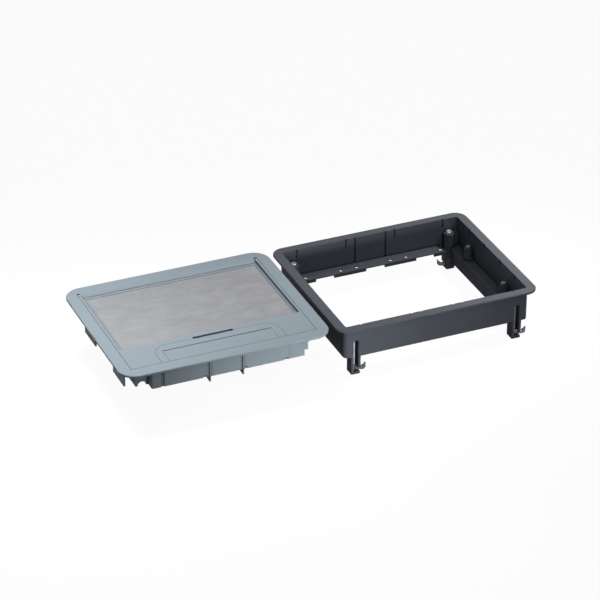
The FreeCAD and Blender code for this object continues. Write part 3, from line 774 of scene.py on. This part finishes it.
@dataclass
class FoamStrip:
    """Soft strip with a crowned, rounded section carried along a path, in millimetres.

    Attributes:
        width: width of the strip.
        height: height of the strip.
        corner: length over which each end rounds off.
        ring_points: points round the section.
        squareness: power that the cosine and sine are raised to.
        wave_height: half the height of the waves as a share of the section.
        wave_pace: radians per millimetre of the two waves.
        sharpest_mitre: least cosine that a corner is widened by.
    """

    width: float
    height: float
    corner: float
    ring_points: int = 28
    squareness: float = 0.4
    wave_height: float = 0.02
    wave_pace: tuple[float, float] = (0.21, 0.083)
    sharpest_mitre: float = 0.5

    def section(self) -> tuple[np.ndarray, np.ndarray]:
        """Rounded section as across and up values.

        Each point is a superellipse of power 5: cosine and sine of the angle raised to 2/5,
        the squareness, with their sign, times half the width and half the height.

        Returns:
            Across values and up values of the ring.
        """
        angle = np.linspace(0, 2 * math.pi, self.ring_points, endpoint=False)
        cosine, sine = np.cos(angle), np.sin(angle)
        across = np.sign(cosine) * np.abs(cosine) ** self.squareness * self.width / 2
        up = np.sign(sine) * np.abs(sine) ** self.squareness * self.height / 2
        return across, up

    def along(self, route: np.ndarray, middle_height: float) -> np.ndarray:
        """Carry the section along a route, mitred at its corners.

        At each station the section stands across the mean direction of the runs on both sides
        and widens by one over the cosine of half the turn. The strip swells and sinks by a
        fiftieth of its width in slow waves, and its ends round off.

        Args:
            route: stations as n x 2 points in millimetres.
            middle_height: height of the strip's middle.

        Returns:
            Grid of rows x columns x 3 points in millimetres.
        """
        runs = np.diff(route, axis=0)
        lengths = np.linalg.norm(runs, axis=1)
        heading = runs / lengths[:, None]
        before = np.vstack([heading[:1], heading])
        after = np.vstack([heading, heading[-1:]])
        mean = before + after
        mean /= np.linalg.norm(mean, axis=1)[:, None]
        widen = 1 / np.maximum(np.sum(mean * after, axis=1), self.sharpest_mitre)
        side = np.stack([-mean[:, 1], mean[:, 0]], axis=1) * widen[:, None]
        travelled = np.concatenate([[0], np.cumsum(lengths)])
        total = travelled[-1]
        to_end = np.minimum(travelled, total - travelled)
        shrink = np.sqrt(np.clip(1 - (1 - np.clip(to_end / self.corner, 0, 1)) ** 2, 0, 1))
        fast, slow = self.wave_pace
        wave = 1 - self.wave_height * (1 + np.sin(travelled * fast) * np.cos(travelled * slow))
        across, up = self.section()
        scale = (shrink * wave)[:, None]
        x = route[:, :1] + side[:, :1] * across[None, :] * scale
        y = route[:, 1:] + side[:, 1:] * across[None, :] * scale
        z = middle_height + up[None, :] * scale
        return np.stack([x, y, z], axis=-1)


def stations(points: list[tuple[float, float]], step: float, ease: float) -> np.ndarray:
    """Stations along straight runs, closer together at both ends.

    Args:
        points: corners of the route in millimetres.
        step: distance between stations.
        ease: length at each end that gets END_STATIONS stations.

    Returns:
        Stations as an n x 2 array, each corner once.
    """
    corners = np.array(points, dtype=float)
    lengths = np.linalg.norm(np.diff(corners, axis=0), axis=1)
    reach = np.concatenate([[0], np.cumsum(lengths)])
    start = ease * (1 - np.cos(np.linspace(0, math.pi / 2, END_STATIONS)))
    between = np.arange(ease + step, reach[-1] - ease, step)
    places = np.concatenate([start, reach[-1] - start, between, reach])
    places = np.unique(np.round(places, STATION_DIGITS))
    return np.stack([np.interp(places, reach, corners[:, axis]) for axis in (0, 1)], axis=1)


@dataclass
class CoverUnit:
    """Grey trim frame with its lid, outlet and foam strips, in millimetres.

    Attributes:
        finishes: shared materials.
        seal_width: width of the strip on the lid seat.
        seal_corner: length over which its ends round off.
        seal_step: distance between its stations.
        outlet_reach: distance from the middle at which its front runs stop.
        outlet_corner: length over which the outlet strip's ends round off.
        outlet_step: distance between that strip's stations.
    """

    finishes: Finishes
    seal_width: float = 4.5
    seal_corner: float = 1.0
    seal_step: float = 4.0
    outlet_reach: float = 92.4
    outlet_corner: float = 1.5
    outlet_step: float = 2.5

    def seal(self) -> None:
        """Make the foam strip on the lid seat: a side run and a short front run on each side."""
        low, high = node_span("lid_seal")
        centre = (low[0] + high[0]) / 2
        half = self.seal_width / 2
        strip = FoamStrip(self.seal_width, high[2] - low[2], self.seal_corner)
        grids = []
        for side in (-1, 1):
            outer = (high[0] - low[0]) / 2 - half
            route = [(centre + side * outer, high[1]), (centre + side * outer, low[1] + half),
                     (centre + side * self.outlet_reach, low[1] + half)]
            grid = strip.along(stations(route, self.seal_step, self.seal_corner), (low[2] + high[2]) / 2)
            grids.append(grid * MM)
        piece = piece_from_grids("seal_foam", grids, self.finishes.foam, FOAM_SMOOTH)
        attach(piece, "units")
        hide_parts("lid_seal")
        LOG.info("seal_foam laid on the lid seat")

    def outlet_foam(self) -> None:
        """Make the foam strip under the flap's front edge, closing round the cables."""
        low, high = node_span("flap_foam")
        middle = (low + high) / 2
        strip = FoamStrip(high[1] - low[1], high[2] - low[2], self.outlet_corner)
        route = [(low[0], middle[1]), (high[0], middle[1])]
        grid = strip.along(stations(route, self.outlet_step, self.outlet_corner), middle[2])
        piece = piece_from_grids("outlet_foam", [grid * MM], self.finishes.foam, FOAM_SMOOTH)
        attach(piece, "flap")
        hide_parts("flap_foam")
        LOG.info("outlet_foam fixed under the flap")

    def build(self) -> None:
        """Dress the grey mouldings, the plate and the pins, and lay both foams."""
        for node in ("trim_frame", "lid_tray", "outlet_surround", "cable_flap"):
            dress_node(node, self.finishes.grey_plastic)
        dress_node("steel_plate", self.finishes.sheet_steel)
        for node in ("lid_hinge_pin_left", "lid_hinge_pin_right"):
            dress_node(node, self.finishes.zinc_steel)
        self.seal()
        self.outlet_foam()


@dataclass(frozen=True)
class Lamp:
    """Soft rectangular lamp.

    Attributes:
        name: name of the lamp.
        place: where it hangs, in metres.
        target: point that it faces.
        size: its two sides in metres.
        power: its power in watts.
        spread: angle that its light fans out over, in degrees.
    """

    name: str
    place: Place
    target: Place
    size: tuple[float, float]
    power: float
    spread: float

    def hang(self) -> None:
        """Make the lamp and turn it to its target."""
        light = bpy.data.lights.new(self.name, "AREA")
        light.shape = "RECTANGLE"
        light.size, light.size_y = self.size
        light.energy = self.power
        light.spread = math.radians(self.spread)
        lamp = bpy.data.objects.new(self.name, light)
        lamp.location = self.place
        facing = Vector(self.target) - Vector(self.place)
        lamp.rotation_euler = facing.to_track_quat("-Z", "Y").to_euler()
        lamp.visible_camera = False
        bpy.context.scene.collection.objects.link(lamp)


LAMPS = (
    Lamp("top_left", (-0.53, 0.42, 1.12), (-0.52, -0.04, 0.0), (0.4, 0.4), 1.30, 47.0),
    Lamp("top_right", (0.62, -0.12, 1.05), (0.09, 0.0, 0.0), (0.3, 0.3), 0.36, 30.0),
    Lamp("front_top", (-0.05, -1.0, 0.85), (0.0, 0.0, 0.0), (0.5, 0.5), 0.26, 60.0),
    Lamp("front_left", (-0.19, -1.3, 0.03), (-0.20, -0.115, -0.02), (0.24, 0.12), 0.16, 22.0),
    Lamp("front_right", (0.02, -1.3, 0.03), (-0.01, -0.115, -0.02), (0.3, 0.12), 0.09, 24.0),
    Lamp("back_right", (0.50, 0.45, 0.40), (0.10, -0.14, 0.0), (0.3, 0.25), 0.26, 70.0),
)


@dataclass
class Studio:
    """Pale floor, white background and soft lamps, in metres.

    Attributes:
        floor_height: height of the floor, which is the lowest point of the CAD model.
        floor_size: length of its sides.
        shadow_tone: paint that takes the shadow where the camera sees the floor.
        seen_glow: glow there.
        mirrored_tone: paint where a glossy or clear piece sees the floor.
        mirrored_glow: glow there.
        lighting_tone: paint for all other light.
        sky_tint: colour of the sky's light.
        sky_light: strength of the sky's light.
    """

    floor_height: float = float(CAD_BOX[0][2])
    floor_size: float = 12.0
    shadow_tone: float = 0.08
    seen_glow: float = 0.95
    mirrored_tone: float = 0.62
    mirrored_glow: float = 0.10
    lighting_tone: float = 0.05
    sky_tint: Colour = (0.93, 0.96, 1.0)
    sky_light: float = 0.12

    def floor(self) -> None:
        """Lay the floor: white with a soft shadow where seen, pale where mirrored, else dark."""
        half = self.floor_size / 2
        corners = [(-half, -half), (half, -half), (half, half), (-half, half)]
        mesh = bpy.data.meshes.new("floor")
        mesh.from_pydata([(x, y, self.floor_height) for x, y in corners], [], [(0, 1, 2, 3)])
        material, board = new_material("pale_floor")
        path = board.add("ShaderNodeLightPath")
        seen = self.floor_paint(board, self.shadow_tone, self.seen_glow)
        mirrored = self.floor_paint(board, self.mirrored_tone, self.mirrored_glow)
        dark = self.lighting_tone
        lighting = board.add("ShaderNodeBsdfDiffuse", Color=(dark, dark, dark, 1.0))
        shiny = board.add("ShaderNodeMath", operation="MAXIMUM")
        unseen = board.add("ShaderNodeMixShader")
        whole = board.add("ShaderNodeMixShader")
        output = board.add("ShaderNodeOutputMaterial")
        board.join(path, "Is Glossy Ray", shiny, 0)
        board.join(path, "Is Transmission Ray", shiny, 1)
        board.join(shiny, 0, unseen, 0)
        board.join(lighting, 0, unseen, 1)
        board.join(mirrored, 0, unseen, 2)
        board.join(path, "Is Camera Ray", whole, 0)
        board.join(unseen, 0, whole, 1)
        board.join(seen, 0, whole, 2)
        board.join(whole, 0, output, "Surface")
        mesh.materials.append(material)
        piece = bpy.data.objects.new("floor", mesh)
        bpy.context.scene.collection.objects.link(piece)

    @staticmethod
    def floor_paint(board: NodeBoard, tone: float, glow: float) -> bpy.types.Node:
        """Mix a grey paint that also glows white.

        Args:
            board: node board of the floor.
            tone: how much light the paint gives back.
            glow: strength of its glow.

        Returns:
            The node that adds both.
        """
        both = board.add("ShaderNodeAddShader")
        paint = board.add("ShaderNodeBsdfDiffuse", Color=(tone, tone, tone, 1.0))
        white = board.add("ShaderNodeEmission", Color=(1.0, 1.0, 1.0, 1.0), Strength=glow)
        board.join(paint, 0, both, 0)
        board.join(white, 0, both, 1)
        return both

    def sky(self) -> None:
        """Set the world: white where it is seen or mirrored, dim where it only lights."""
        world = bpy.data.worlds.new("studio")
        world.use_nodes = True
        bpy.context.scene.world = world
        board = NodeBoard(world.node_tree)
        path = board.add("ShaderNodeLightPath")
        seen = board.add("ShaderNodeMath", operation="MAXIMUM")
        shown = board.add("ShaderNodeMath", operation="MAXIMUM")
        white = board.add("ShaderNodeBackground", Color=(1.0, 1.0, 1.0, 1.0), Strength=1.0)
        dim = board.add("ShaderNodeBackground", Color=(*self.sky_tint, 1.0), Strength=self.sky_light)
        mix = board.add("ShaderNodeMixShader")
        output = board.add("ShaderNodeOutputWorld")
        board.join(path, "Is Camera Ray", seen, 0)
        board.join(path, "Is Glossy Ray", seen, 1)
        board.join(seen, 0, shown, 0)
        board.join(path, "Is Transmission Ray", shown, 1)
        board.join(shown, 0, mix, 0)
        board.join(dim, 0, mix, 1)
        board.join(white, 0, mix, 2)
        board.join(mix, 0, output, "Surface")

    def build(self) -> None:
        """Lay the floor, set the sky and hang the lamps."""
        self.floor()
        self.sky()
        for lamp in LAMPS:
            lamp.hang()
        LOG.info("studio built")


@dataclass
class PhotoCamera:
    """Camera at the photograph's viewing angle, in metres and degrees, its sensor in mm.

    Attributes:
        target: point in the middle of the picture.
        distance: distance from there.
        pitch: angle that it looks down by.
        yaw: angle that it is turned by, from Y towards X.
        focal_pixels: focal length in pixels of the photograph.
        image_pixels: width of the photograph in pixels.
        sensor: width of the sensor.
        nearest: distance from which things are drawn.
        farthest: distance up to which they are drawn.
    """

    target: Place = (-0.16645, -0.0249, 0.006)
    distance: float = 4.0653
    pitch: float = 30.158
    yaw: float = 23.038
    focal_pixels: float = 2978.3
    image_pixels: float = 600.0
    sensor: float = 36.0
    nearest: float = 0.1
    farthest: float = 50.0

    def build(self) -> None:
        """Place the camera and make it the scene's own."""
        pitch, yaw = math.radians(self.pitch), math.radians(self.yaw)
        level = math.cos(pitch)
        ahead = Vector((level * math.sin(yaw), level * math.cos(yaw), -math.sin(pitch)))
        data = bpy.data.cameras.new("photo_camera")
        data.sensor_width = self.sensor
        data.lens = self.focal_pixels / self.image_pixels * self.sensor
        data.clip_start, data.clip_end = self.nearest, self.farthest
        camera = bpy.data.objects.new("photo_camera", data)
        camera.location = Vector(self.target) - ahead * self.distance
        camera.rotation_euler = ahead.to_track_quat("-Z", "Y").to_euler()
        bpy.context.scene.collection.objects.link(camera)
        bpy.context.scene.camera = camera
        LOG.info("camera placed")


def main() -> None:
    """Build the units, then the studio and the camera."""
    logging.basicConfig(level=logging.INFO, format="%(name)s %(message)s")
    bpy.context.scene.view_settings.view_transform = "Standard"
    finishes = make_finishes()
    MountingFrameUnit(finishes).build()
    CoverUnit(finishes).build()
    Studio().build()
    PhotoCamera().build()


if __name__ == "__main__":
    main()
